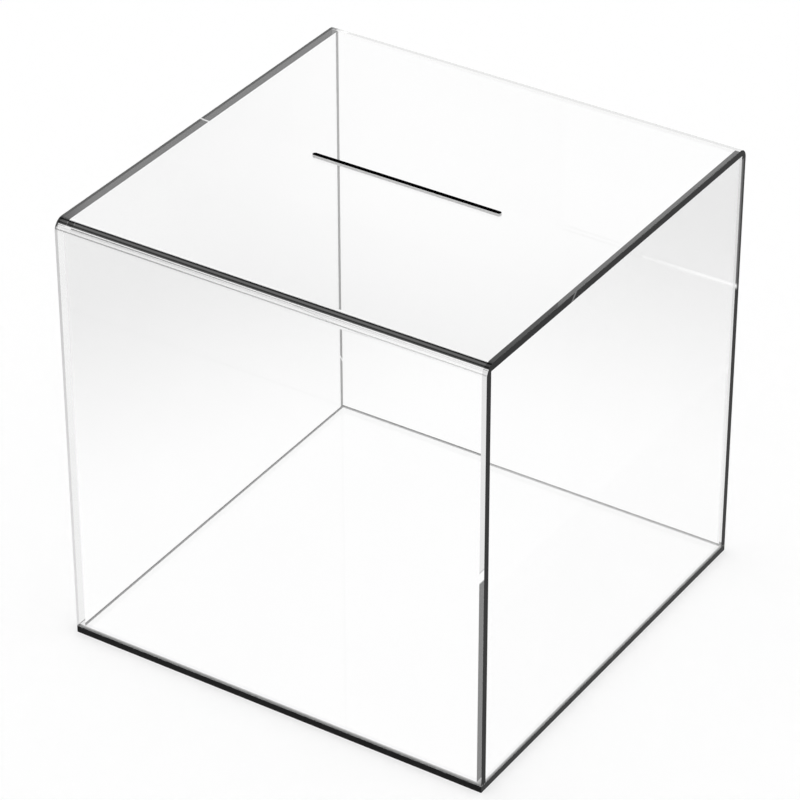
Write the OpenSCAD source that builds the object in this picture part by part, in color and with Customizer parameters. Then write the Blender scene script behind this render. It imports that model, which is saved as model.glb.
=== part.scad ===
// Clear donation box: a slotted five-sided cover that stands on a flat base and lifts off it.
// One sheet is bent over the front, the top and the back, and a side panel is bonded in at
// each end of it, flush with the sheet's ends. The cover's lower edges stand on the base panel.
// Millimetres. +Z is up, -Y is the front, and the origin is under the middle of the base.

/* [Box] */
// Width of the box, left to right
box_w = 380; // [250:1:500]
// Depth of the box, front to back
box_d = 380; // [250:1:500]
// Height of the box, from the table to the top
box_h = 380; // [200:1:500]

/* [Cover] */
// Thickness of the bent sheet that makes the front, the top and the back
sheet_t = 6; // [3:0.1:8]
// Inside radius of the two bends in that sheet
bend_r = 0.5; // [0.4:0.1:8]
// How far a bend's outside radius exceeds its inside radius, in sheet thicknesses
bend_spread = 1.5; // [1:0.05:1.8]
// Thickness of the two side panels
panel_t = 6; // [3:0.1:8]
// How much rounder a side panel's top corners are than the bend that they lie in
corner_ease = 0.3; // [0.1:0.1:1]

/* [Slot] */
// Length of the money slot, left to right, over its round ends
slot_l = 170; // [60:1:200]
// Width of the money slot, front to back
slot_w = 4.2; // [3:0.1:15]
// How far the slot lies behind the middle of the top
slot_back = 0; // [-60:1:60]

/* [Base] */
// Thickness of the base panel that the cover stands on
base_t = 6; // [3:0.1:12]

/* [Hidden] */
$fn = 96;
// How far a cut runs past the face it goes through
cut_past = 1;
// The cover stands on the base panel's top face
cover_h = box_h - base_t;
// The hollow between the two legs of the bent sheet
hollow_d = box_d - 2 * sheet_t;
hollow_h = cover_h - sheet_t;
clear_tint = [0.93, 0.95, 0.96, 0.35];
edge_tint = [0.80, 0.84, 0.86, 0.35];

// Outline of a wall's end, depth across and height up, with its two top corners rounded
module arch(depth, height, corner_r) {
    translate([-depth / 2, 0]) square([depth, height - corner_r]);
    translate([corner_r - depth / 2, 0]) square([depth - 2 * corner_r, height]);
    for (side = [-1, 1])
        translate([side * (depth / 2 - corner_r), height - corner_r]) circle(corner_r);
}

// Runs an outline of depth and height along the box's width, from x_from
module along_width(x_from, width) {
    translate([x_from, 0, base_t]) rotate([90, 0, 90]) linear_extrude(width) children();
}

// The cut for the money slot: a straight slot with full round ends
module slot_cut() {
    run = slot_l - slot_w;
    translate([0, slot_back, box_h - sheet_t - cut_past])
        linear_extrude(sheet_t + 2 * cut_past) {
            square([run, slot_w], center = true);
            for (side = [-1, 1]) translate([side * run / 2, 0]) circle(slot_w / 2);
        }
}

// The front, the top and the back, bent from one sheet, which is a little thinner in its bends
module cover_sheet() {
    color(clear_tint) difference() {
        along_width(-box_w / 2, box_w) difference() {
            arch(box_d, cover_h, bend_r + bend_spread * sheet_t);
            translate([0, -cut_past]) arch(hollow_d, hollow_h + cut_past, bend_r);
        }
        slot_cut();
    }
}

// A side panel, flush with the sheet's ends and filling the hollow between its legs
module side_panel(x_from) {
    color(clear_tint) along_width(x_from, panel_t)
        arch(hollow_d, hollow_h, bend_r + corner_ease);
}

module left_panel() {
    side_panel(-box_w / 2);
}

module right_panel() {
    side_panel(box_w / 2 - panel_t);
}

// The panel that the box stands on
module base_panel() {
    color(edge_tint) translate([-box_w / 2, -box_d / 2, 0]) cube([box_w, box_d, base_t]);
}

cover_sheet();
left_panel();
right_panel();
base_panel();
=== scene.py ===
"""Clear acrylic donation box: a slotted cover that stands on a flat base panel.

The cover is one sheet bent over the front, the top and the back, with a side panel bonded in
at each end. Every size is in metres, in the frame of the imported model: +Z is up, -Y is the
front and the origin is under the middle of the base panel.
"""

from __future__ import annotations

import logging
import math
from dataclasses import dataclass
from enum import Enum
from typing import Callable, Iterable

import bmesh
import bpy
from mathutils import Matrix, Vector

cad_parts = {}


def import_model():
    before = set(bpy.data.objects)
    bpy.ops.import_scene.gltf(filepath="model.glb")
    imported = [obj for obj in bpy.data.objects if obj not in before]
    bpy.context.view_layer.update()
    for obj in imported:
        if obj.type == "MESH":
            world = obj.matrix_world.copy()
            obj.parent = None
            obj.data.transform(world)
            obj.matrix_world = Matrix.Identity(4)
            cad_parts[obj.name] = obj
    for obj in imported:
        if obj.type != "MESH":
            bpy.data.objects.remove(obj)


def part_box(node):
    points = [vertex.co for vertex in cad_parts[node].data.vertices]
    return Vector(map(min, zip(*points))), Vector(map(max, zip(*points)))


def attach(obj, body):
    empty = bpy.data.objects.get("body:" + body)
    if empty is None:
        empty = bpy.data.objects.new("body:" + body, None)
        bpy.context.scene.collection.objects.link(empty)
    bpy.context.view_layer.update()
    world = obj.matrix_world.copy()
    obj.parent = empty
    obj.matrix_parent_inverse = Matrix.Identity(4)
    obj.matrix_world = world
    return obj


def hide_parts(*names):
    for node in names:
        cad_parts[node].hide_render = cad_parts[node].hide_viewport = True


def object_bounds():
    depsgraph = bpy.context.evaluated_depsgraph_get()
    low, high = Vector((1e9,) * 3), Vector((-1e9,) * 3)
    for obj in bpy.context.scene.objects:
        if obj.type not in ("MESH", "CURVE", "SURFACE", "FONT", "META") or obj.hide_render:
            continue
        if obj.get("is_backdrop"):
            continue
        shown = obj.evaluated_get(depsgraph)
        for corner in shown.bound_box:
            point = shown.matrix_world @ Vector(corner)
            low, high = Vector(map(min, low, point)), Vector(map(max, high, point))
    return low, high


LOG = logging.getLogger("donation_box")

BMesh = bmesh.types.BMesh
Socket = bpy.types.NodeSocket
Value = float | Socket
Place = tuple[Socket, Socket, Socket]
FaceTest = Callable[[Vector, Vector], bool]

MM = 0.001

# The box that the finishes' patterns are laid out on.
BOX = 380 * MM
SHEET = 6 * MM
OUTER = BOX / 2
INNER = OUTER - SHEET

# A face is straight to an axis above FLAT, and leans towards it above TILTED.
FLAT = 0.999
TILTED = 0.001
CLOSE = 0.01 * MM
LARGEST_FACE_ALONE = 100

WHITE = (1.0, 1.0, 1.0, 1.0)


class Side(Enum):
    """Which end of the bent sheet a side panel closes, as the sign of its X."""

    LEFT = -1
    RIGHT = 1


class Slot(Enum):
    """The record's material slots."""

    SHEET = "clear_sheet"
    PANEL = "clear_panel"
    BASE = "clear_base"


# ------------------------------------------------------------
# Finishes


def new_tree(name: str) -> tuple[bpy.types.Material, bpy.types.NodeTree]:
    """Make an empty node material.

    Args:
        name: the material's name.

    Returns:
        The material and its node tree, which holds nothing yet.
    """
    material = bpy.data.materials.new(name)
    material.use_nodes = True
    material.node_tree.nodes.clear()
    return material, material.node_tree


@dataclass(frozen=True)
class Grain:
    """Fine mottling: how many patches to a metre, how rough they are, and their range."""

    scale: float
    detail: float
    low: float
    high: float
    contrast: tuple[float, float] = (0.3, 0.7)


@dataclass
class Wiring:
    """Adds nodes to a tree and joins them up."""

    tree: bpy.types.NodeTree

    def node(self, kind: str) -> bpy.types.Node:
        """Add a node of a kind."""
        return self.tree.nodes.new(kind)

    def feed(self, value: Value, socket: Socket) -> None:
        """Set a socket to a number, or join it to another socket.

        Args:
            value: the number, or the socket to join.
            socket: the socket that takes it.
        """
        if isinstance(value, Socket):
            self.tree.links.new(value, socket)
        else:
            socket.default_value = value

    def math(self, operation: str, *values: Value) -> Socket:
        """Work out a number.

        Args:
            operation: the Math node's operation.
            values: its inputs, each a number or a socket.

        Returns:
            The socket with the result.
        """
        node = self.node("ShaderNodeMath")
        node.operation = operation
        for value, socket in zip(values, node.inputs):
            self.feed(value, socket)
        return node.outputs["Value"]

    def less(self, value: Value, other: Value) -> Socket:
        """Take one number from another."""
        return self.math("SUBTRACT", value, other)

    def larger(self, value: Value, other: Value) -> Socket:
        """Return the larger of two numbers."""
        return self.math("MAXIMUM", value, other)

    def size(self, value: Socket) -> Socket:
        """Return a number without its sign."""
        return self.math("ABSOLUTE", value)

    def times(self, first: Value, second: Value, *others: Value) -> Socket:
        """Multiply numbers, or find where every one of some tests holds.

        Args:
            first: a number or a test.
            second: another.
            others: any more of them.

        Returns:
            The product, which is 1 where tests all hold and 0 elsewhere.
        """
        product = self.math("MULTIPLY", first, second)
        for other in others:
            product = self.math("MULTIPLY", product, other)
        return product

    def above(self, value: Socket, limit: float) -> Socket:
        """Tell whether a number is above a limit, as 1 or 0."""
        return self.math("GREATER_THAN", value, limit)

    def below(self, value: Socket, limit: float) -> Socket:
        """Tell whether a number is below a limit, as 1 or 0."""
        return self.math("LESS_THAN", value, limit)

    def fade(self, value: Socket, start: float, end: float, low: Value, high: Value) -> Socket:
        """Run smoothly from one number to another as a value grows.

        Args:
            value: what grows.
            start: the value where the change begins.
            end: the value where it is complete.
            low: the number up to start.
            high: the number from end.

        Returns:
            The number.
        """
        node = self.node("ShaderNodeMapRange")
        node.interpolation_type = "SMOOTHSTEP"
        self.feed(value, node.inputs["Value"])
        self.feed(start, node.inputs["From Min"])
        self.feed(end, node.inputs["From Max"])
        self.feed(low, node.inputs["To Min"])
        self.feed(high, node.inputs["To Max"])
        return node.outputs["Result"]

    def line(self, value: Socket, middle: float, half: float, strength: float = 1.0) -> Socket:
        """Return a soft line, at full strength in its middle and gone half its width away."""
        off = self.size(self.less(value, middle))
        return self.fade(off, 0.0, half, strength, 0.0)

    def choose(self, which: Socket, no: Value, yes: Value) -> Socket:
        """Pick one of two numbers.

        Args:
            which: 0 or 1.
            no: the number for 0.
            yes: the number for 1.

        Returns:
            The number picked.
        """
        node = self.node("ShaderNodeMix")
        self.feed(which, node.inputs["Factor"])
        self.feed(no, node.inputs["A"])
        self.feed(yes, node.inputs["B"])
        return node.outputs["Result"]

    def place(self) -> Place:
        """Find where a point lies on the box.

        Returns:
            Its X, Y and Z in metres.
        """
        where = self.node("ShaderNodeTexCoord")
        split = self.node("ShaderNodeSeparateXYZ")
        self.tree.links.new(where.outputs["Object"], split.inputs["Vector"])
        return split.outputs["X"], split.outputs["Y"], split.outputs["Z"]

    def ray(self, fact: str) -> Socket:
        """Return something that is known of the ray, such as how often it has turned."""
        return self.node("ShaderNodeLightPath").outputs[fact]

    def from_inside(self) -> Socket:
        """Tell whether a face is seen from within the plastic, as 1 or 0."""
        return self.node("ShaderNodeNewGeometry").outputs["Backfacing"]

    def noise(self, grain: Grain) -> Socket:
        """Make fine mottling.

        Args:
            grain: how fine the mottling is, and its range.

        Returns:
            The mottling at a point.
        """
        where = self.node("ShaderNodeTexCoord")
        mottle = self.node("ShaderNodeTexNoise")
        mottle.inputs["Scale"].default_value = grain.scale
        mottle.inputs["Detail"].default_value = grain.detail
        self.tree.links.new(where.outputs["Object"], mottle.inputs["Vector"])
        return self.fade(mottle.outputs["Fac"], *grain.contrast, grain.low, grain.high)

    def grey(self, value: Socket) -> Socket:
        """Turn a number into a grey.

        Args:
            value: how light the grey is.

        Returns:
            The grey, as a colour.
        """
        node = self.node("ShaderNodeCombineColor")
        for channel in ("Red", "Green", "Blue"):
            self.feed(value, node.inputs[channel])
        return node.outputs["Color"]

    def glow(self, strength: Value) -> Socket:
        """Make a shader that gives out white light.

        Args:
            strength: how bright it is, where 1 is white.

        Returns:
            The shader.
        """
        node = self.node("ShaderNodeEmission")
        self.feed(strength, node.inputs["Strength"])
        return node.outputs["Emission"]

    def mix(self, factor: Value, first: Socket, second: Socket) -> Socket:
        """Mix two shaders.

        Args:
            factor: the second shader's share.
            first: the first shader.
            second: the second shader.

        Returns:
            The mixed shader.
        """
        node = self.node("ShaderNodeMixShader")
        self.feed(factor, node.inputs["Fac"])
        self.tree.links.new(first, node.inputs[1])
        self.tree.links.new(second, node.inputs[2])
        return node.outputs["Shader"]

    def surface(self, shader: Socket) -> None:
        """Show a shader on the material's surface."""
        out = self.node("ShaderNodeOutputMaterial")
        self.tree.links.new(shader, out.inputs["Surface"])


@dataclass(frozen=True)
class GuidedLight:
    """The light that a sheet of acrylic carries inside it, from face to face, to its edges.

    What such light shows depends on the edge that it comes from: bright where it comes in
    past the far edge, grey where it comes from a sawn edge on the base, and dark where it
    has come round the front bend.
    """

    # Turns past which a ray counts as guided, in a face and at a cut edge.
    turns_in_face: float = 1.5
    turns_at_edge: float = 0.5

    # Where the side panels begin, and how high they reach.
    panel_from: float = INNER - 0.1 * MM
    panel_top: float = BOX - SHEET + 0.1 * MM

    # The right front edge, from the bottom up: grey, a bright gap, a line, then light.
    right_split: float = 174 * MM
    right_gap: float = 182 * MM
    right_fade: float = 2 * MM
    right_upper: float = 0.79
    right_line: float = 0.5
    right_lower: float = 0.21

    # The left front edge, which grows lighter upwards.
    left_from: float = 100 * MM
    left_to: float = 300 * MM
    left_lower: float = 0.88
    left_upper: float = 1.05

    # The left and right top edges, which are darkest near the front.
    top_left: float = 0.17
    top_right: float = 0.135
    top_near: float = 0.06
    near_left: float = -150 * MM
    near_left_fade: float = 24 * MM
    near_right: float = -62 * MM

    # The sliver of light from the slot, and how far back it runs as it comes down.
    sliver_run: float = 0.575
    sliver_y: float = -1.3 * MM
    sliver_half: float = 1.6 * MM
    sliver_low: float = 200 * MM

    # The bent sheet before and behind its split, and the base panel.
    sheet_front: float = 0.135
    sheet_back: float = 0.82
    sheet_split: float = -60 * MM
    base_below: float = SHEET + 0.05 * MM
    base: float = 0.95

    def right_tone(self, w: Wiring, z: Socket) -> Socket:
        """Tone the right front edge, which is grey below a bright gap and light above it.

        Args:
            w: the wiring.
            z: a point's height.

        Returns:
            How bright the edge is there.
        """
        above = w.fade(z, self.right_gap, self.right_gap + self.right_fade,
                       self.right_line, self.right_upper)
        gap = w.choose(w.above(z, self.right_gap), 1.0, above)
        return w.fade(z, self.right_split - self.right_fade, self.right_split,
                      self.right_lower, gap)

    def top_tone(self, w: Wiring, place: Place) -> Socket:
        """Tone light that has come down through the top of a side panel.

        It is dark near the front, and on the left the slot lets one bright sliver through.

        Args:
            w: the wiring.
            place: a point on the box.

        Returns:
            How bright the light is there.
        """
        x, y, z = place
        left = w.fade(y, self.near_left - self.near_left_fade,
                      self.near_left + self.near_left_fade, self.top_near, self.top_left)
        right = w.choose(w.above(y, self.near_right), self.top_near, self.top_right)
        sliver = w.times(self.sliver(w, y, z), w.above(z, self.sliver_low))
        return w.choose(w.above(x, 0.0), w.larger(left, sliver), right)

    def sliver(self, w: Wiring, y: Socket, z: Socket) -> Socket:
        """Return the bright sliver, which slants back as it comes down from the top."""
        run = w.times(w.less(BOX, z), self.sliver_run)
        return w.line(w.less(y, run), self.sliver_y, self.sliver_half)

    def in_panel(self, w: Wiring, place: Place) -> Socket:
        """Tell whether a point is in a side panel, or beside one but for the left back.

        Args:
            w: the wiring.
            place: a point on the box.

        Returns:
            1 where it is, and 0 elsewhere.
        """
        x, y, z = place
        beside = w.times(w.above(w.size(x), self.panel_from), w.below(z, self.panel_top))
        left_back = w.times(w.above(y, self.panel_from), w.below(x, 0.0))
        return w.choose(left_back, beside, 0.0)

    def tone(self, w: Wiring) -> Socket:
        """Tone the light inside the plastic.

        Light that has come down through the bond at a panel's top has crossed one face more
        than light that has come in through the front.

        Args:
            w: the wiring.

        Returns:
            How bright the light is at a point.
        """
        place = w.place()
        x, y, z = place
        left = w.fade(z, self.left_from, self.left_to, self.left_lower, self.left_upper)
        panel = w.choose(w.above(x, 0.0), left, self.right_tone(w, z))
        sheet = w.choose(w.above(y, self.sheet_split), self.sheet_front, self.sheet_back)
        cover = w.choose(self.in_panel(w, place), sheet, panel)
        crossings = w.math("MODULO", w.ray("Transmission Depth"), 2.0)
        lit = w.choose(w.below(crossings, 0.5), cover, self.top_tone(w, place))
        return w.choose(w.below(z, self.base_below), lit, self.base)

    def is_guided(self, w: Wiring, turns: float) -> Socket:
        """Tell whether a ray inside the plastic has been turned back more than turns times."""
        return w.times(w.above(w.ray("Glossy Depth"), turns), w.from_inside())


@dataclass(frozen=True)
class Streak:
    """The light streak that slants down the right wall and ends in the sheet's cut end."""

    y: float = 43 * MM
    z: float = 352 * MM
    slope: float = -0.671
    half: float = 3.0 * MM
    begin_y: float = 30 * MM
    full_y: float = 150 * MM
    begin: float = 0.3
    wall_x: float = OUTER - 1 * MM
    end_y: float = 183.8 * MM
    end_half: float = 3.8 * MM
    end_light: float = 0.9
    end_fade: tuple[float, float] = (184.6 * MM, 188.6 * MM)

    def height(self, w: Wiring, y: Socket, z: Socket) -> Socket:
        """Return how high a point is over the streak's middle."""
        rise = w.times(w.less(y, self.y), self.slope)
        return w.less(w.less(z, self.z), rise)

    def on_wall(self, w: Wiring, place: Place) -> Socket:
        """Draw the streak on the wall, where it grows towards the back.

        Args:
            w: the wiring.
            place: a point on the box.

        Returns:
            How strong the streak is there, from 0 to 1.
        """
        x, y, z = place
        light = w.line(self.height(w, y, z), 0.0, self.half)
        grown = w.fade(y, self.begin_y, self.full_y, self.begin, 1.0)
        return w.times(light, grown, w.above(y, self.begin_y), w.above(x, self.wall_x))

    def on_end(self, w: Wiring, y: Socket, z: Socket) -> Socket:
        """Return how bright the streak is where it runs into the sheet's cut end."""
        light = w.line(self.height(w, y, z), 0.0, self.end_half, self.end_light)
        return w.times(light, w.fade(y, *self.end_fade, 1.0, 0.0), w.above(y, self.end_y))


@dataclass(frozen=True)
class ClearFace:
    """A polished face of clear acrylic, which bends what is seen through it.

    Lamps shine straight through it, so that it throws the faint shadow of a clear sheet.
    """

    name: str
    ior: float = 1.49
    shade: float = 0.985
    mottle: Grain = Grain(14.0, 2.0, 0.994, 0.998)
    guided: GuidedLight = GuidedLight()

    def colour(self, w: Wiring) -> Socket:
        """Return the tone that the face gives to what is seen through it."""
        return w.noise(self.mottle)

    def paint_reflection_shade(self, w: Wiring, acrylic: bpy.types.Node) -> None:
        """Paint shade into the light that the face mirrors. Most faces paint none, and mirror
        light as plain acrylic does.
        """

    def build(self) -> bpy.types.Material:
        """Wire the finish up.

        Returns:
            The finish as a material.
        """
        material, tree = new_tree(self.name)
        w = Wiring(tree)
        acrylic = w.node("ShaderNodeBsdfPrincipled")
        acrylic.inputs["Roughness"].default_value = 0.0
        acrylic.inputs["IOR"].default_value = self.ior
        acrylic.inputs["Transmission Weight"].default_value = 1.0
        w.feed(w.grey(self.colour(w)), acrylic.inputs["Base Color"])
        self.paint_reflection_shade(w, acrylic)
        guided = self.guided.is_guided(w, self.guided.turns_in_face)
        body = w.mix(guided, acrylic.outputs["BSDF"], w.glow(self.guided.tone(w)))
        passing = w.node("ShaderNodeBsdfTransparent")
        passing.inputs["Color"].default_value = (self.shade, self.shade, self.shade, 1.0)
        soft = w.larger(w.ray("Is Shadow Ray"), w.ray("Is Diffuse Ray"))
        w.surface(w.mix(soft, body, passing.outputs["BSDF"]))
        return material


@dataclass(frozen=True)
class PaintedReflectionFace(ClearFace):
    """A clear face with a painted reflection: a light grey cast where it is the first face
    seen.
    """

    painted_reflection: float = 0.3

    def cast(self, w: Wiring) -> Socket:
        """Return the painted reflection's grey cast. Each kind of face has its own."""
        raise NotImplementedError

    def colour(self, w: Wiring) -> Socket:
        """Return the tone that the face gives to what is seen through it."""
        return w.less(super().colour(w), w.times(self.cast(w), w.ray("Is Camera Ray")))


@dataclass(frozen=True)
class WallFace(PaintedReflectionFace):
    """The outside of a wall, with a painted reflection towards its upper far corner."""

    reflection_from: float = 350 * MM
    reflection_reach: float = 230 * MM
    reflection_lean: float = 0.65
    streak: Streak = Streak()

    def cast(self, w: Wiring) -> Socket:
        """Draw the painted reflection, and leave the painted light streak out of it.

        Args:
            w: the wiring.

        Returns:
            The painted reflection at a point.
        """
        place = w.place()
        x, y, z = place
        far = w.times(w.less(BOX, w.size(w.less(x, y))), self.reflection_lean)
        painted_reflection = w.fade(w.math("ADD", z, far), self.reflection_from, self.reflection_from + self.reflection_reach,
                      0.0, self.painted_reflection)
        return w.times(painted_reflection, w.less(1.0, self.streak.on_wall(w, place)))


@dataclass(frozen=True)
class TopFace(PaintedReflectionFace):
    """The top, with a painted reflection towards the front left."""

    reflection_from: float = 330 * MM
    reflection_to: float = 640 * MM

    def cast(self, w: Wiring) -> Socket:
        """Draw the painted reflection.

        Args:
            w: the wiring.

        Returns:
            The painted reflection at a point.
        """
        x, y, _ = w.place()
        nearness = w.less(BOX, w.math("ADD", x, y))
        return w.fade(nearness, self.reflection_from, self.reflection_to, 0.0, self.painted_reflection)


@dataclass(frozen=True)
class BendLine:
    """A dark line of painted shade along a bend: how far out it is, half its width, and its
    strength.
    """

    out: float
    half: float
    strength: float


@dataclass(frozen=True)
class BendFace(WallFace):
    """The outside of a bend, with dark lines painted where light that turns inside the sheet
    would draw them.
    """

    lines: tuple[BendLine, ...] = (
        BendLine(183.6 * MM, 1.5 * MM, 1.35),
        BendLine(186.35 * MM, 1.2 * MM, 1.0),
        BendLine(188.73 * MM, 0.35 * MM, 0.2),
        BendLine(189.65 * MM, 0.24 * MM, 0.6),
    )
    foot_cast: float = 0.03
    foot_from: float = 187 * MM
    foot_to: float = 188 * MM
    reflection_out: float = 187.3 * MM
    most_cast: float = 0.985
    back_share: float = 0.3

    def line_cast(self, w: Wiring, y: Socket) -> Socket:
        """Draw the painted dark lines and the painted shade at the bend's foot, which show
        less on the back bend.

        Args:
            w: the wiring.
            y: how far back a point is.

        Returns:
            How dark the bend is there.
        """
        out = w.size(y)
        cast = w.fade(out, self.foot_from, self.foot_to, 0.0, self.foot_cast)
        for line in self.lines:
            cast = w.math("ADD", cast, w.line(out, line.out, line.half, line.strength))
        share = w.choose(w.above(y, 0.0), 1.0, self.back_share)
        return w.times(w.math("MINIMUM", cast, self.most_cast), share)

    def cast(self, w: Wiring) -> Socket:
        """Draw the painted dark lines, and the wall's painted reflection where the bend runs
        into the wall.

        Args:
            w: the wiring.

        Returns:
            How dark the bend is at a point.
        """
        _, y, _ = w.place()
        painted_reflection = w.times(super().cast(w), w.above(w.size(y), self.reflection_out))
        return w.math("ADD", painted_reflection, self.line_cast(w, y))

    def paint_reflection_shade(self, w: Wiring, acrylic: bpy.types.Node) -> None:
        """Paint shade into the mirrored light where the painted dark lines are."""
        _, y, _ = w.place()
        w.feed(w.grey(w.less(1.0, self.line_cast(w, y))), acrylic.inputs["Specular Tint"])


@dataclass(frozen=True)
class CutEdge:
    """A cut edge of the sheet: painted dark as shade and glossy from outside, a soft grey from
    within.
    """

    name: str
    outside: float
    within: float
    gloss: float = 0.09
    roughness: float = 0.2
    painted_light_share: float = 0.0
    streaks: Grain = Grain(90.0, 3.0, 0.5, 1.5)
    saw_marks: Grain = Grain(160.0, 4.0, 0.94, 1.0)
    guided: GuidedLight | None = None

    def inner_tone(self, w: Wiring) -> Value:
        """Return the grey that the edge shows from within."""
        return self.within

    def outer_tone(self, w: Wiring) -> Socket:
        """Return the edge's tone from outside, which is painted shade."""
        return w.times(w.noise(self.streaks), self.outside)

    def build(self) -> bpy.types.Material:
        """Wire the finish up.

        Returns:
            The finish as a material.
        """
        material, tree = new_tree(self.name)
        w = Wiring(tree)
        edge = w.node("ShaderNodeBsdfPrincipled")
        edge.inputs["Roughness"].default_value = self.roughness
        edge.inputs["Specular IOR Level"].default_value = self.gloss
        w.feed(w.grey(self.outer_tone(w)), edge.inputs["Base Color"])
        frost = w.node("ShaderNodeBsdfTranslucent")
        inner_grey = w.times(w.noise(self.saw_marks), self.inner_tone(w))
        w.feed(w.grey(inner_grey), frost.inputs["Color"])
        inner = frost.outputs["BSDF"]
        # Painted light: part of the inner side glows white, though it is no lamp.
        if self.painted_light_share:
            inner = w.mix(self.painted_light_share, inner, w.glow(1.0))
        if self.guided is not None:
            guided = self.guided.is_guided(w, self.guided.turns_at_edge)
            inner = w.mix(guided, inner, w.glow(self.guided.tone(w)))
        w.surface(w.mix(w.from_inside(), edge.outputs["BSDF"], inner))
        return material


@dataclass(frozen=True)
class SheetEnd(CutEdge):
    """The bent sheet's cut end, darker within at its top and its back from painted shade.

    From outside, on the right, a break of light crosses it at the top, a soft light runs
    down its inner rim at the back, and the wall's streak ends in it.
    """

    within_top: float = 0.055
    within_back: float = 0.3
    top_from: float = 372 * MM
    top_to: float = 374 * MM

    break_y: float = -70 * MM
    break_z: float = BOX - SHEET / 2
    break_lean: float = 0.9
    break_half: float = 2.3 * MM
    break_light: float = 0.17

    rim_y: float = 183.8 * MM
    rim_fade_y: float = 189 * MM
    rim_low: float = 254 * MM
    rim_high: float = 371 * MM
    rim_light: float = 0.16

    guided: GuidedLight = GuidedLight()
    streak: Streak = Streak()

    def inner_tone(self, w: Wiring) -> Socket:
        """Tone the end from within, with the bright sliver on the left.

        Args:
            w: the wiring.

        Returns:
            The grey at a point.
        """
        x, y, z = w.place()
        tone = w.choose(w.above(y, 0.0), self.within, self.within_back)
        tone = w.fade(z, self.top_from, self.top_to, tone, self.within_top)
        sliver = w.times(self.guided.sliver(w, y, z), w.below(x, 0.0))
        return w.larger(tone, sliver)

    def top_break(self, w: Wiring, y: Socket, z: Socket) -> Socket:
        """Return the break of light that leans back across the top."""
        along = w.less(y, w.times(w.less(z, self.break_z), self.break_lean))
        return w.times(w.line(along, self.break_y, self.break_half, self.break_light),
                       w.above(z, BOX - SHEET))

    def back_rim(self, w: Wiring, y: Socket, z: Socket) -> Socket:
        """Return the soft light along the inner rim at the back."""
        light = w.fade(y, self.rim_y, self.rim_fade_y, self.rim_light, 0.0)
        return w.times(light, w.above(y, self.rim_y), w.above(z, self.rim_low),
                       w.below(z, self.rim_high))

    def outer_tone(self, w: Wiring) -> Socket:
        """Tone the end from outside, with its marks of light on the right.

        Args:
            w: the wiring.

        Returns:
            The tone at a point.
        """
        x, y, z = w.place()
        marks = w.larger(self.top_break(w, y, z), self.streak.on_end(w, y, z))
        marks = w.larger(marks, self.back_rim(w, y, z))
        return w.math("ADD", super().outer_tone(w), w.times(marks, w.above(x, 0.0)))


@dataclass(frozen=True)
class SawnFoot(CutEdge):
    """A sawn lower edge, darker towards the box's outer faces from painted shade.

    The left panel's foot has more painted shade still, but its front corner has painted light
    for a ray that has come straight in through the front.
    """

    within_rim: float = 0.12
    left_share: float = 0.58
    corner_back: float = -172 * MM
    corner_rim: float = 188.8 * MM
    corner_tone: float = 0.95
    corner_crossings: float = 1.5
    guided: GuidedLight = GuidedLight()

    def inner_tone(self, w: Wiring) -> Socket:
        """Tone the foot from within.

        Args:
            w: the wiring.

        Returns:
            The grey at a point.
        """
        x, y, _ = w.place()
        beside = w.size(x)
        tone = w.fade(w.larger(beside, w.size(y)), INNER, OUTER, self.within, self.within_rim)
        corner = w.fade(beside, self.corner_rim, OUTER, self.corner_tone, self.within_rim)
        straight = w.below(w.ray("Transmission Depth"), self.corner_crossings)
        at_corner = w.times(straight, w.below(y, self.corner_back))
        left = w.choose(at_corner, w.times(tone, self.left_share), corner)
        on_left = w.times(w.below(x, -INNER), w.above(y, -INNER))
        return w.choose(on_left, tone, left)


@dataclass(frozen=True)
class BondedFace:
    """A solvent-bonded joint, where two sheets are one piece of plastic to the light."""

    name: str
    clouding: Grain = Grain(40.0, 2.0, 0.985, 1.0)

    def build(self) -> bpy.types.Material:
        """Wire the finish up.

        Returns:
            The finish as a material.
        """
        material, tree = new_tree(self.name)
        w = Wiring(tree)
        joint = w.node("ShaderNodeBsdfTransparent")
        w.feed(w.grey(w.noise(self.clouding)), joint.inputs["Color"])
        w.surface(joint.outputs["BSDF"])
        return material


class Finish(Enum):
    """The finishes that the box is made of. A mesh's material index is the finish's order."""

    CLEAR = ClearFace("clear_face")
    # The clear outer faces carry a painted reflection, a light grey cast; the bends also carry
    # painted dark lines.
    WALL = WallFace("clear_wall")
    SIDE = WallFace("clear_side", painted_reflection=0.36, reflection_from=315 * MM, reflection_reach=265 * MM)
    TOP = TopFace("clear_top", painted_reflection=0.13)
    BEND = BendFace("clear_bend")
    # The cut edges are painted dark outside as shade; the slot's wall also glows in part with
    # painted light.
    END = SheetEnd("cut_end", outside=0.003, within=0.78, gloss=0.068)
    BASE_EDGE = CutEdge("base_edge", outside=0.002, within=0.98)
    SAWN = SawnFoot("sawn_edge", outside=0.2, within=0.55, roughness=0.6)
    SLOT = CutEdge("slot_wall", outside=0.002, within=1.0, gloss=0.05, painted_light_share=0.28)
    BOND = BondedFace("bonded_face")
    TOP_BOND = ClearFace("bonded_top", ior=1.0, shade=1.0)


def finish_index(finish: Finish) -> int:
    """Return the material index that a finish has on every piece."""
    return list(Finish).index(finish)


@dataclass
class Palette:
    """The box's materials, made once and shared by its pieces."""

    materials: list[bpy.types.Material]

    @classmethod
    def build(cls) -> Palette:
        """Make every finish."""
        return cls([finish.value.build() for finish in Finish])

    def dress(self, piece: bpy.types.Object) -> None:
        """Give a piece every finish, in the order of its faces' indices."""
        for material in self.materials:
            piece.data.materials.append(material)


# ------------------------------------------------------------
# Mesh helpers


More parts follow.
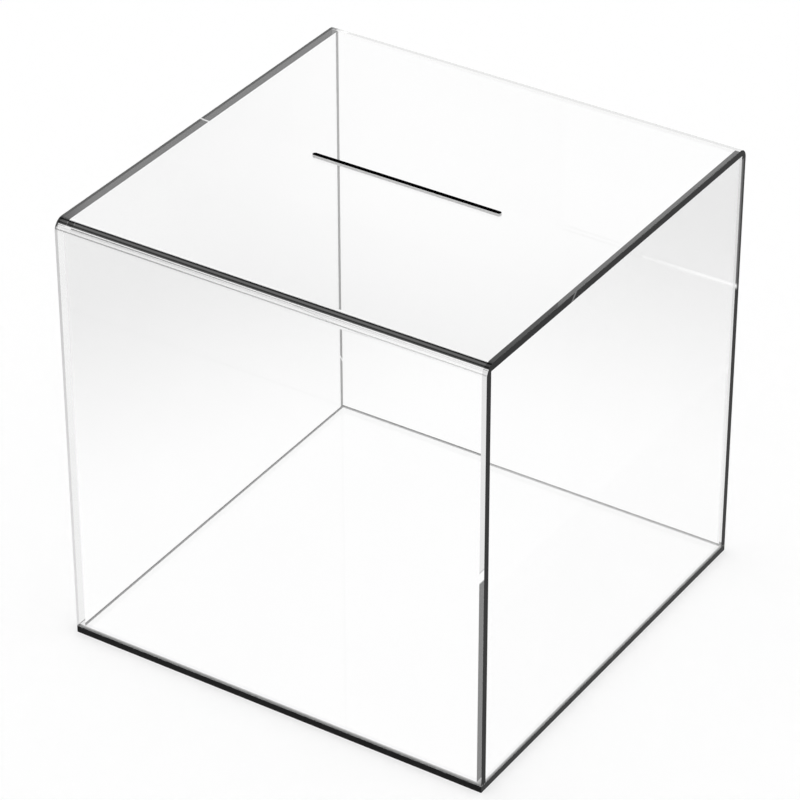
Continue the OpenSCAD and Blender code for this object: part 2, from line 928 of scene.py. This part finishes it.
def plate(low: Vector, high: Vector) -> BMesh:
    """Start a mesh as a plate.

    Args:
        low: the plate's lowest corner.
        high: its highest corner.

    Returns:
        The mesh.
    """
    bm = bmesh.new()
    bmesh.ops.create_cube(bm, size=1.0)
    bmesh.ops.scale(bm, verts=bm.verts, vec=high - low)
    bmesh.ops.translate(bm, verts=bm.verts, vec=(low + high) / 2)
    return bm


def extrude(bm: BMesh, face: bmesh.types.BMFace, run: Vector) -> None:
    """Draw a face out into a bar.

    Args:
        bm: the mesh.
        face: the bar's near end.
        run: the way from the near end to the far one.
    """
    drawn = bmesh.ops.extrude_face_region(bm, geom=[face])
    far_end = [part for part in drawn["geom"] if isinstance(part, bmesh.types.BMVert)]
    bmesh.ops.translate(bm, verts=far_end, vec=run)


def face_outwards(bm: BMesh) -> None:
    """Turn a closed mesh's faces outwards, and bring their normals up to date."""
    bmesh.ops.recalc_face_normals(bm, faces=bm.faces)
    bm.normal_update()


def paint(bm: BMesh, finish: Finish, test: FaceTest) -> None:
    """Give some faces a finish.

    Args:
        bm: the mesh.
        finish: the finish.
        test: takes a face's middle and its normal, and picks the faces.
    """
    for face in bm.faces:
        if test(face.calc_center_median(), face.normal):
            face.material_index = finish_index(finish)


def edges_along_x(bm: BMesh, y: float, z: float) -> list[bmesh.types.BMEdge]:
    """Find the edges that run along X.

    Args:
        bm: the mesh.
        y: the Y of both their ends.
        z: the Z of both their ends.

    Returns:
        The edges.
    """

    def on_line(vert: bmesh.types.BMVert) -> bool:
        """Tell whether a vertex lies on the line."""
        return abs(vert.co.y - y) < CLOSE and abs(vert.co.z - z) < CLOSE

    return [edge for edge in bm.edges if all(on_line(vert) for vert in edge.verts)]


def round_edges(bm: BMesh, edges: list[bmesh.types.BMEdge], radius: float,
                segments: int) -> None:
    """Turn edges into round bends."""
    bmesh.ops.bevel(bm, geom=edges, offset=radius, offset_type="OFFSET", affect="EDGES",
                    segments=segments, profile=0.5, material=-1)


def crease_sharp_edges(bm: BMesh, least_turn: float) -> None:
    """Shade the mesh smooth, apart from its sharp edges.

    Args:
        bm: the mesh.
        least_turn: the turn in radians from which an edge is sharp.
    """
    for face in bm.faces:
        face.smooth = True
    for edge in bm.edges:
        edge.smooth = edge.calc_face_angle(math.pi) < least_turn


def to_object(bm: BMesh, name: str) -> bpy.types.Object:
    """Finish a mesh and put it in the scene.

    Args:
        bm: the mesh, which is freed.
        name: the object's name.

    Returns:
        The object, at the origin, with its place in its mesh.
    """
    bmesh.ops.recalc_face_normals(bm, faces=bm.faces)
    mesh = bpy.data.meshes.new(name)
    bm.to_mesh(mesh)
    bm.free()
    piece = bpy.data.objects.new(name, mesh)
    bpy.context.scene.collection.objects.link(piece)
    return piece


def even_normals(piece: bpy.types.Object) -> None:
    """Keep flat faces flat to the light where they run into a bend.

    Args:
        piece: the object.
    """
    weighted = piece.modifiers.new("even_normals", "WEIGHTED_NORMAL")
    weighted.keep_sharp = True
    weighted.weight = LARGEST_FACE_ALONE


def carry_out_modifiers(piece: bpy.types.Object) -> None:
    """Replace a piece's mesh with the one that its modifiers make of it.

    Args:
        piece: the object, which keeps no modifier.
    """
    bpy.context.view_layer.update()
    graph = bpy.context.evaluated_depsgraph_get()
    mesh = bpy.data.meshes.new_from_object(piece.evaluated_get(graph))
    piece.modifiers.clear()
    piece.data = mesh


def lean_normals(piece: bpy.types.Object, test: FaceTest, lean: Vector) -> None:
    """Tip the shading normals of some faces, for sheet that is slightly out of true.

    Args:
        piece: the object, whose modifiers are carried out.
        test: takes a face's middle and its normal, and picks the faces.
        lean: what to add to their normals.
    """
    carry_out_modifiers(piece)
    mesh = piece.data
    normals = [Vector(corner.vector) for corner in mesh.corner_normals]
    for face in mesh.polygons:
        if test(face.center, face.normal):
            for corner in face.loop_indices:
                normals[corner] = (normals[corner] + lean).normalized()
    mesh.normals_split_custom_set(normals)


# ------------------------------------------------------------
# The box


@dataclass
class BoxSizes:
    """The sizes of the box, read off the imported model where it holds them.

    The sheet draws thinner as it is bent, so a bend's outer radius is its inner radius plus
    bend_spread times the sheet's thickness.
    """

    bend_r: float = 0.5 * MM
    bend_spread: float = 1.5
    bend_segments: int = 24
    corner_ease: float = 0.3 * MM
    slot_l: float = 170 * MM
    slot_w: float = 4.2 * MM
    slot_segments: int = 48
    seat_gap: float = 0.1 * MM
    bond_gap: float = 0.02 * MM
    front_lean: float = 0.0156
    sharp: float = math.radians(30)

    def __post_init__(self) -> None:
        """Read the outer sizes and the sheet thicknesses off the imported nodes."""
        _, self.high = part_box("cover_sheet")
        panel_low, panel_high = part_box("right_panel")
        self.base_low, self.base_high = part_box("base_panel")
        self.panel_t = panel_high.x - panel_low.x
        self.sheet_t = self.high.z - panel_high.z
        self.seat = self.base_high.z + self.seat_gap
        self.half_w = self.high.x
        self.half_d = self.high.y

    @property
    def inner_top(self) -> float:
        """Height of the top sheet's underside."""
        return self.high.z - self.sheet_t

    @property
    def inner_half_w(self) -> float:
        """Half the distance between the side panels."""
        return self.half_w - self.panel_t

    @property
    def inner_half_d(self) -> float:
        """Half the distance between the front and the back wall."""
        return self.half_d - self.sheet_t


@dataclass
class Piece:
    """A piece of the box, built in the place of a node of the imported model."""

    sizes: BoxSizes
    palette: Palette

    node: str = ""
    body: str = ""
    slot: Slot = Slot.SHEET

    def mesh(self) -> BMesh:
        """Return the piece's mesh. Each kind of piece makes its own."""
        raise NotImplementedError

    def trim(self, piece: bpy.types.Object) -> None:
        """Do what is left to do once the mesh is an object."""

    def settle(self, piece: bpy.types.Object) -> None:
        """Do what is left to do once the normals are even."""

    def build(self) -> bpy.types.Object:
        """Make the piece, dress it and hang it on its body.

        Returns:
            The finished object.
        """
        piece = to_object(self.mesh(), f"{self.node}_clear")
        self.palette.dress(piece)
        self.trim(piece)
        even_normals(piece)
        self.settle(piece)
        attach(piece, self.body)
        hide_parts(self.node)
        LOG.info("%s: %d faces", piece.name, len(piece.data.polygons))
        return piece


@dataclass
class CoverSheet(Piece):
    """The front, the top and the back, bent from one sheet, with the money slot in its top."""

    node: str = "cover_sheet"
    body: str = "cover"
    slot: Slot = Slot.SHEET

    def mesh(self) -> BMesh:
        """Bend the sheet, and mark off on it the strips that the side panels are bonded to.

        Returns:
            The bent sheet, without its slot.
        """
        s = self.sizes
        outline = (
            (-s.half_d, s.seat), (-s.half_d, s.high.z), (s.half_d, s.high.z),
            (s.half_d, s.seat), (s.inner_half_d, s.seat), (s.inner_half_d, s.inner_top),
            (-s.inner_half_d, s.inner_top), (-s.inner_half_d, s.seat),
        )
        bm = bmesh.new()
        end = bm.faces.new([bm.verts.new((-s.half_w, y, z)) for y, z in outline])
        extrude(bm, end, Vector((2 * s.half_w, 0, 0)))
        for way in (-1, 1):
            outer = edges_along_x(bm, way * s.half_d, s.high.z)
            round_edges(bm, outer, s.bend_r + s.bend_spread * s.sheet_t, s.bend_segments)
            inner = edges_along_x(bm, way * s.inner_half_d, s.inner_top)
            round_edges(bm, inner, s.bend_r, s.bend_segments // 2)
        for way in (-1, 1):
            everything = bm.verts[:] + bm.edges[:] + bm.faces[:]
            bmesh.ops.bisect_plane(bm, geom=everything, plane_no=(1, 0, 0),
                                   plane_co=(way * s.inner_half_w, 0, 0))
        face_outwards(bm)
        self.paint_faces(bm)
        crease_sharp_edges(bm, s.sharp)
        return bm

    def paint_faces(self, bm: BMesh) -> None:
        """Give the sheet's walls, top, bends, cut ends, feet and bonded strips their finishes.

        Args:
            bm: the sheet's mesh.
        """
        s = self.sizes

        def on_wall(mid: Vector, normal: Vector) -> bool:
            """Tell whether a face is the outside of the front or the back."""
            return abs(normal.y) > FLAT and abs(mid.y) > s.half_d - CLOSE

        def on_top(mid: Vector, normal: Vector) -> bool:
            """Tell whether a face is the outside of the top."""
            return normal.z > FLAT

        def on_bend(mid: Vector, normal: Vector) -> bool:
            """Tell whether a face is on the outside of a bend."""
            return normal.z > TILTED and abs(normal.y) > TILTED

        def on_end(mid: Vector, normal: Vector) -> bool:
            """Tell whether a face is the sheet's cut end."""
            return abs(normal.x) > FLAT

        def on_foot(mid: Vector, normal: Vector) -> bool:
            """Tell whether a face is the lower edge of the front or the back."""
            return normal.z < -FLAT and mid.z < s.seat + CLOSE

        def on_bond(mid: Vector, normal: Vector) -> bool:
            """Tell whether a side panel is bonded to a face."""
            inside = (normal.z < -FLAT and abs(mid.z - s.inner_top) < CLOSE
                      or abs(normal.y) > FLAT and abs(abs(mid.y) - s.inner_half_d) < CLOSE)
            return inside and abs(mid.x) > s.inner_half_w

        paint(bm, Finish.WALL, on_wall)
        paint(bm, Finish.TOP, on_top)
        paint(bm, Finish.BEND, on_bend)
        paint(bm, Finish.END, on_end)
        paint(bm, Finish.SAWN, on_foot)
        paint(bm, Finish.BOND, on_bond)

    def slot_cutter(self) -> bpy.types.Object:
        """Make the round-ended bar that cuts the money slot.

        Returns:
            The bar.
        """
        s = self.sizes
        bm = bmesh.new()
        radius = s.slot_w / 2
        bmesh.ops.create_circle(bm, cap_ends=True, segments=s.slot_segments, radius=radius)
        for vert in bm.verts:
            if abs(vert.co.x) > CLOSE:
                vert.co.x += math.copysign(s.slot_l / 2 - radius, vert.co.x)
        extrude(bm, bm.faces[:][0], Vector((0, 0, 2 * s.sheet_t)))
        bmesh.ops.translate(bm, verts=bm.verts, vec=(0, 0, s.inner_top - s.sheet_t / 2))
        return to_object(bm, "slot_cutter")

    def trim(self, piece: bpy.types.Object) -> None:
        """Cut the money slot through the top.

        Args:
            piece: the sheet.
        """
        cutter = self.slot_cutter()
        self.palette.dress(cutter)
        for face in cutter.data.polygons:
            face.material_index = finish_index(Finish.SLOT)
        cut = piece.modifiers.new("money_slot", "BOOLEAN")
        cut.operation = "DIFFERENCE"
        cut.solver = "EXACT"
        cut.object = cutter
        carry_out_modifiers(piece)
        bpy.data.objects.remove(cutter)

    def settle(self, piece: bpy.types.Object) -> None:
        """Lean the light on the inner face of the front, which the bend draws out of true.

        Args:
            piece: the sheet, with its slot.
        """
        inner = -self.sizes.inner_half_d

        def on_front_inner(mid: Vector, normal: Vector) -> bool:
            """Tell whether a face is the inner face of the front."""
            return normal.y > FLAT and abs(mid.y - inner) < CLOSE

        lean_normals(piece, on_front_inner, Vector((0, 0, self.sizes.front_lean)))


@dataclass
class SidePanel(Piece):
    """A side panel, bonded between the legs of the bent sheet and under its top."""

    side: Side = Side.RIGHT
    body: str = "cover"
    slot: Slot = Slot.PANEL

    def mesh(self) -> BMesh:
        """Cut the panel, and round the two top corners that lie in the bends.

        Returns:
            The panel.
        """
        s = self.sizes
        out = self.side.value
        low_x, high_x = sorted((out * s.inner_half_w, out * s.half_w))
        top = s.inner_top - s.bond_gap
        bm = plate(Vector((low_x, -s.inner_half_d, s.seat)),
                   Vector((high_x, s.inner_half_d, top)))
        for way in (-1, 1):
            corner = edges_along_x(bm, way * s.inner_half_d, top)
            round_edges(bm, corner, s.bend_r + s.corner_ease, s.bend_segments // 2)
        face_outwards(bm)
        paint(bm, Finish.SIDE, lambda mid, normal: normal.x * out > FLAT)
        paint(bm, Finish.TOP_BOND, lambda mid, normal: normal.z > FLAT)
        paint(bm, Finish.BOND, lambda mid, normal: abs(normal.y) > FLAT)
        paint(bm, Finish.SAWN, lambda mid, normal: normal.z < -FLAT)
        crease_sharp_edges(bm, s.sharp)
        return bm


@dataclass
class BasePanel(Piece):
    """The panel that the cover stands on."""

    node: str = "base_panel"
    body: str = "base"
    slot: Slot = Slot.BASE

    def mesh(self) -> BMesh:
        """Cut the base panel, as wide and as deep as the sheet over it.

        Returns:
            The base panel.
        """
        s = self.sizes
        bm = plate(Vector((-s.half_w, -s.half_d, s.base_low.z)),
                   Vector((s.half_w, s.half_d, s.base_high.z)))
        face_outwards(bm)
        paint(bm, Finish.BASE_EDGE, lambda mid, normal: abs(normal.z) < FLAT)
        crease_sharp_edges(bm, s.sharp)
        return bm


@dataclass
class DonationBox:
    """The whole box: the cover's three pieces and the base panel."""

    def build(self) -> list[bpy.types.Object]:
        """Build every piece.

        Returns:
            The finished objects.
        """
        sizes = BoxSizes()
        palette = Palette.build()
        pieces: list[Piece] = [
            CoverSheet(sizes, palette),
            SidePanel(sizes, palette, node="left_panel", side=Side.LEFT),
            SidePanel(sizes, palette, node="right_panel", side=Side.RIGHT),
            BasePanel(sizes, palette),
        ]
        return [piece.build() for piece in pieces]


# ------------------------------------------------------------
# The studio


@dataclass
class Studio:
    """A white floor inside a light tent whose walls fade to a grey ceiling, and a camera.

    The tent's sizes and the camera's distance are in box sizes, the angles in degrees.
    """

    box_size: float

    floor_gap: float = 0.5 * MM
    floor_half: float = 6.0
    shadow_share: float = 0.5

    tent_radius: float = 2.0
    tent_white_to: float = 2.05
    tent_grey_from: float = 3.0
    tent_height: float = 5.0
    tent_segments: int = 96
    ceiling: float = 0.25

    azimuth: float = 32.777
    elevation: float = 32.746
    distance: float = 7.9695
    focal_px: float = 3854.9
    frame_px: float = 800.0
    centre_px: tuple[float, float] = (405.85, 393.33)
    sensor_mm: float = 36.0
    clip_end: float = 100.0

    def through_glass(self, w: Wiring) -> Socket:
        """Tell whether something is seen through glass or in a shiny face."""
        return w.larger(w.ray("Is Glossy Ray"), w.ray("Is Transmission Ray"))

    def build_floor(self) -> bpy.types.Object:
        """Lay the floor, white where glass shows it and shaded where it is seen directly.

        Returns:
            The floor.
        """
        bm = bmesh.new()
        bmesh.ops.create_grid(bm, x_segments=1, y_segments=1, size=self.floor_half)
        bmesh.ops.translate(bm, verts=bm.verts, vec=(0, 0, -self.floor_gap))
        floor = to_object(bm, "floor")
        material, tree = new_tree("floor_white")
        w = Wiring(tree)
        paper = w.node("ShaderNodeBsdfDiffuse")
        paper.inputs["Color"].default_value = WHITE
        lit = w.times(w.ray("Is Camera Ray"), 1.0 - self.shadow_share)
        white = w.larger(lit, self.through_glass(w))
        w.surface(w.mix(white, paper.outputs["BSDF"], w.glow(1.0)))
        floor.data.materials.append(material)
        floor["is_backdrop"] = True
        return floor

    def build_tent(self) -> bpy.types.Object:
        """Stand the tent's round wall, which only glass and gloss show.

        Returns:
            The tent.
        """
        bm = bmesh.new()
        bmesh.ops.create_circle(bm, segments=self.tent_segments,
                                radius=self.tent_radius * self.box_size)
        rise = bmesh.ops.extrude_edge_only(bm, edges=bm.edges[:])
        top = [part for part in rise["geom"] if isinstance(part, bmesh.types.BMVert)]
        bmesh.ops.translate(bm, verts=top, vec=(0, 0, self.tent_height * self.box_size))
        tent = to_object(bm, "light_tent")
        material, tree = new_tree("tent_cloth")
        w = Wiring(tree)
        _, _, height = w.place()
        start = self.tent_white_to * self.box_size
        end = self.tent_grey_from * self.box_size
        w.surface(w.glow(w.fade(height, start, end, 1.0, self.ceiling)))
        tent.data.materials.append(material)
        tent.visible_camera = False
        tent.visible_diffuse = False
        tent.visible_shadow = False
        tent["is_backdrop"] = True
        return tent

    def even_light(self, w: Wiring, strength: float) -> Socket:
        """Make white light that comes from all round.

        Args:
            w: the world's wiring.
            strength: how bright it is, where 1 is white.

        Returns:
            The light, as a shader.
        """
        light = w.node("ShaderNodeBackground")
        light.inputs["Color"].default_value = WHITE
        light.inputs["Strength"].default_value = strength
        return light.outputs["Background"]

    def build_world(self) -> None:
        """Light the room evenly, and show white to the camera and the ceiling to glass."""
        world = bpy.data.worlds.new("studio")
        bpy.context.scene.world = world
        world.use_nodes = True
        world.node_tree.nodes.clear()
        w = Wiring(world.node_tree)
        light = w.mix(self.through_glass(w), self.even_light(w, 1.0),
                      self.even_light(w, self.ceiling))
        out = w.node("ShaderNodeOutputWorld")
        w.feed(light, out.inputs["Surface"])

    def build_camera(self) -> None:
        """Place the camera, looking down at the front and the right side."""
        turn = math.radians(self.azimuth)
        lift = math.radians(self.elevation)
        target = Vector((0, 0, self.box_size / 2))
        towards = Vector((math.sin(turn) * math.cos(lift), -math.cos(turn) * math.cos(lift),
                          math.sin(lift)))
        data = bpy.data.cameras.new("camera")
        camera = bpy.data.objects.new("camera", data)
        bpy.context.scene.collection.objects.link(camera)
        camera.location = target + towards * self.distance * self.box_size
        camera.rotation_euler = (-towards).to_track_quat("-Z", "Y").to_euler()
        data.sensor_width = self.sensor_mm
        data.lens = self.focal_px * self.sensor_mm / self.frame_px
        half = self.frame_px / 2
        data.shift_x = -(self.centre_px[0] - half) / self.frame_px
        data.shift_y = (self.centre_px[1] - half) / self.frame_px
        data.clip_end = self.clip_end
        bpy.context.scene.camera = camera

    def build(self) -> None:
        """Set up the floor, the tent, the light and the camera."""
        self.build_floor()
        self.build_tent()
        self.build_world()
        self.build_camera()
        bpy.context.scene.view_settings.view_transform = "Standard"


def plain(bounds: Iterable[Iterable[float]]) -> list[list[float]]:
    """Return a box's corners as plain lists of numbers."""
    return [[float(value) for value in corner] for corner in bounds]


def main() -> None:
    """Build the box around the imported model."""
    logging.basicConfig(level=logging.INFO, format="%(name)s: %(message)s")
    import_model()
    cad = plain(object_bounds())
    pieces = DonationBox().build()
    Studio(box_size=cad[1][2] - cad[0][2]).build()
    LOG.info("%d pieces", len(pieces))
    bpy.context.view_layer.update()


if __name__ == "__main__":
    main()
